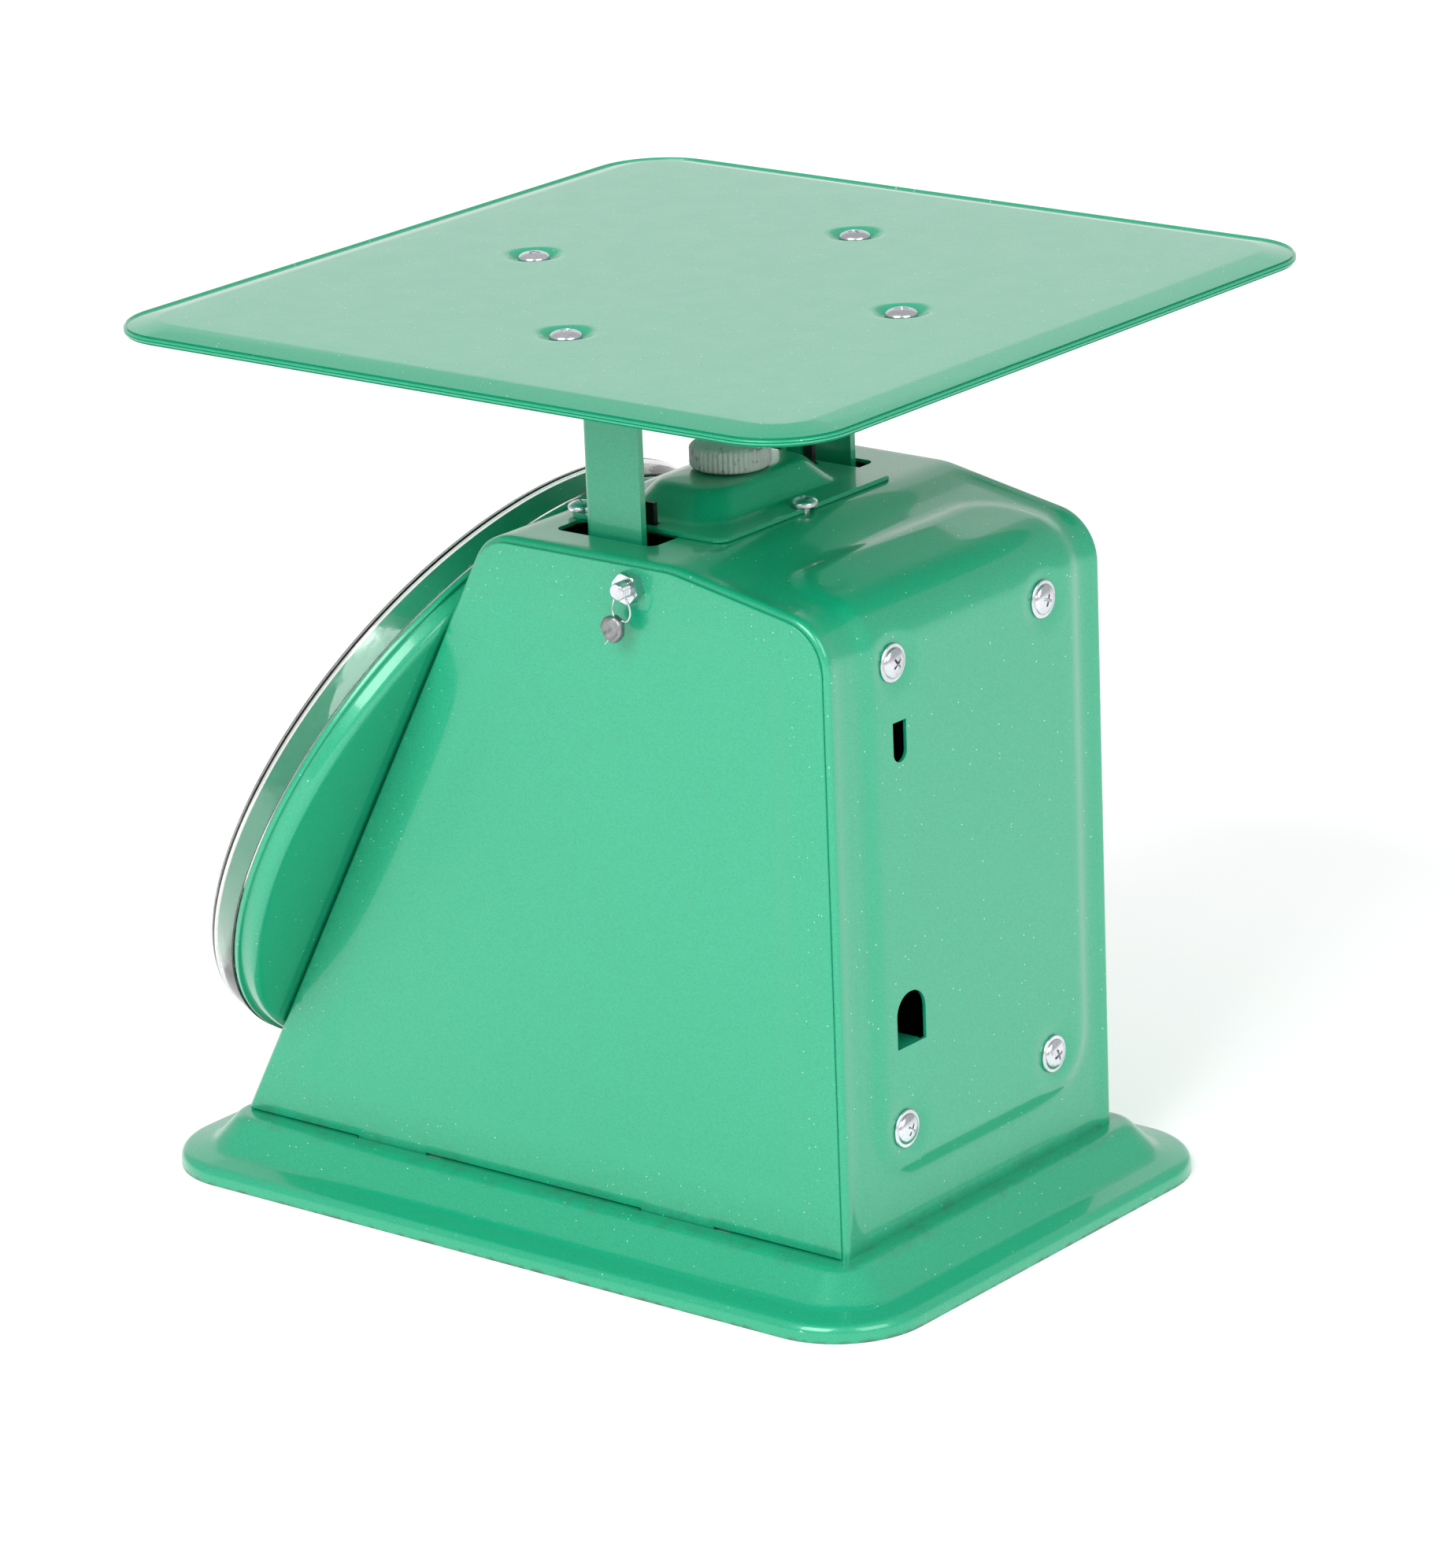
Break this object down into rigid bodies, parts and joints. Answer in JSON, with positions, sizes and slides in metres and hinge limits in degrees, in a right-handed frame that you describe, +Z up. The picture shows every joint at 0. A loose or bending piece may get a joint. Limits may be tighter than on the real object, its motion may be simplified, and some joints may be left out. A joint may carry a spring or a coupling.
{
  "type": "mechanical dial platform scale",
  "caption": "Spring dial scale: pressed steel case on a base pan, tilted round dial, square tray on two arms, rack and pinion pointer and a zero knob.",
  "frame": {"origin": "centre of the base pan's underside, on the table", "axes": "+Z up, the dial faces -Y, +X is on the right of a person reading the dial"},
  "size_m": [0.245, 0.2791, 0.2688],
  "materials": {
    "green_paint": "gloss",
    "zinc_steel": "satin",
    "plain_steel": "satin",
    "black_steel": "satin",
    "spring_steel": "satin",
    "brass": "satin",
    "bright_steel": "satin",
    "lead": "matte",
    "grey_plastic": "matte",
    "dial_white": "matte",
    "pointer_black": "satin",
    "clear_acrylic": "gloss"
  },
  "bodies": {
    "housing": {"base_pan": "green_paint", "hood": "green_paint", "side_plate_right": "green_paint", "side_plate_left": "green_paint", "chassis_side_right": "plain_steel", "chassis_side_left": "plain_steel", "chassis_upper_strap": "plain_steel", "chassis_lower_strap": "plain_steel", "back_spacers": "zinc_steel", "top_bracket": "green_paint", "bracket_screws": "zinc_steel", "back_screws": "zinc_steel", "base_screws": "zinc_steel", "right_stud": "zinc_steel", "right_nut": "zinc_steel", "left_stud": "zinc_steel", "left_nut": "zinc_steel", "dial_dish": "green_paint", "dial_face": "dial_white", "dial_posts": "zinc_steel", "dial_face_screws": "zinc_steel", "dial_cover": "clear_acrylic", "dial_screws": "zinc_steel", "movement_frame": "plain_steel", "front_bush": "brass", "rear_bush": "brass", "rack_guide_pin": "bright_steel", "upper_link_shaft": "plain_steel", "lower_link_shaft": "plain_steel"},
    "carriage": {"platform": "green_paint", "platform_screws": "zinc_steel", "spider": "green_paint", "arm_right": "green_paint", "arm_left": "green_paint", "lower_crossbar": "plain_steel", "crossbar_bolts": "zinc_steel", "guide_pins": "zinc_steel", "rack_arm": "plain_steel", "rack_tab": "plain_steel", "rack": "brass", "lower_spring_plugs": "plain_steel"},
    "zero_beam": {"spring_beam": "black_steel", "upper_spring_plugs": "plain_steel", "spring_right": "spring_steel", "spring_left": "spring_steel"},
    "zero_knob": {"tare_knob": "grey_plastic", "knob_rod": "black_steel", "knob_nut": "black_steel"},
    "dial_pointer": {"pointer_shaft": "bright_steel", "pinion": "brass", "pointer": "pointer_black", "pointer_cap": "brass"},
    "upper_links": {"upper_link_right": "plain_steel", "upper_link_left": "plain_steel", "upper_tie_rod": "plain_steel"},
    "lower_links": {"lower_link_right": "plain_steel", "lower_link_left": "plain_steel", "lower_tie_rod": "plain_steel"},
    "wire_seal": {"seal_wire": "bright_steel", "lead_seal": "lead"}
  },
  "joints": [
    {"name": "platform_slide", "type": "slide", "parent": "housing", "child": "carriage", "axis": [0, 0, -1], "range_m": [0, 0.02], "stiffness_N_per_m": 4905, "springref_m": -0.0036, "deforming": ["spring_right", "spring_left"]},
    {"name": "pointer_turn", "type": "hinge", "parent": "housing", "child": "dial_pointer", "pos_m": [0, -0.0614, 0.11], "axis": [0, 0.8805, -0.4741], "range_deg": [0, 362]},
    {"name": "upper_link_swing", "type": "hinge", "parent": "housing", "child": "upper_links", "pos_m": [0, 0.0753, 0.15], "axis": [1, 0, 0], "range_deg": [0, 24]},
    {"name": "lower_link_swing", "type": "hinge", "parent": "housing", "child": "lower_links", "pos_m": [0, 0.0753, 0.08], "axis": [1, 0, 0], "range_deg": [0, 24]},
    {"name": "zero_knob_turn", "type": "hinge", "parent": "housing", "child": "zero_knob", "pos_m": [0, 0.028, 0.2156], "axis": [0, 0, 1], "range_deg": [-725, 725]},
    {"name": "zero_beam_slide", "type": "slide", "parent": "housing", "child": "zero_beam", "axis": [0, 0, 1], "range_m": [-0.002, 0.002]},
    {"name": "seal_swing", "type": "hinge", "parent": "housing", "child": "wire_seal", "pos_m": [0.0692, 0.0433, 0.199], "axis": [0, -1, 0], "range_deg": [-4, 110]}
  ],
  "couplings": [
    {"joint": "pointer_turn", "follows": "platform_slide", "rad_per_m": 314.46},
    {"joint": "upper_link_swing", "follows": "platform_slide", "rad_per_m": 19.934},
    {"joint": "lower_link_swing", "follows": "platform_slide", "rad_per_m": 19.934},
    {"joint": "zero_knob_turn", "follows": "zero_beam_slide", "rad_per_m": -6283.2}
  ]
}
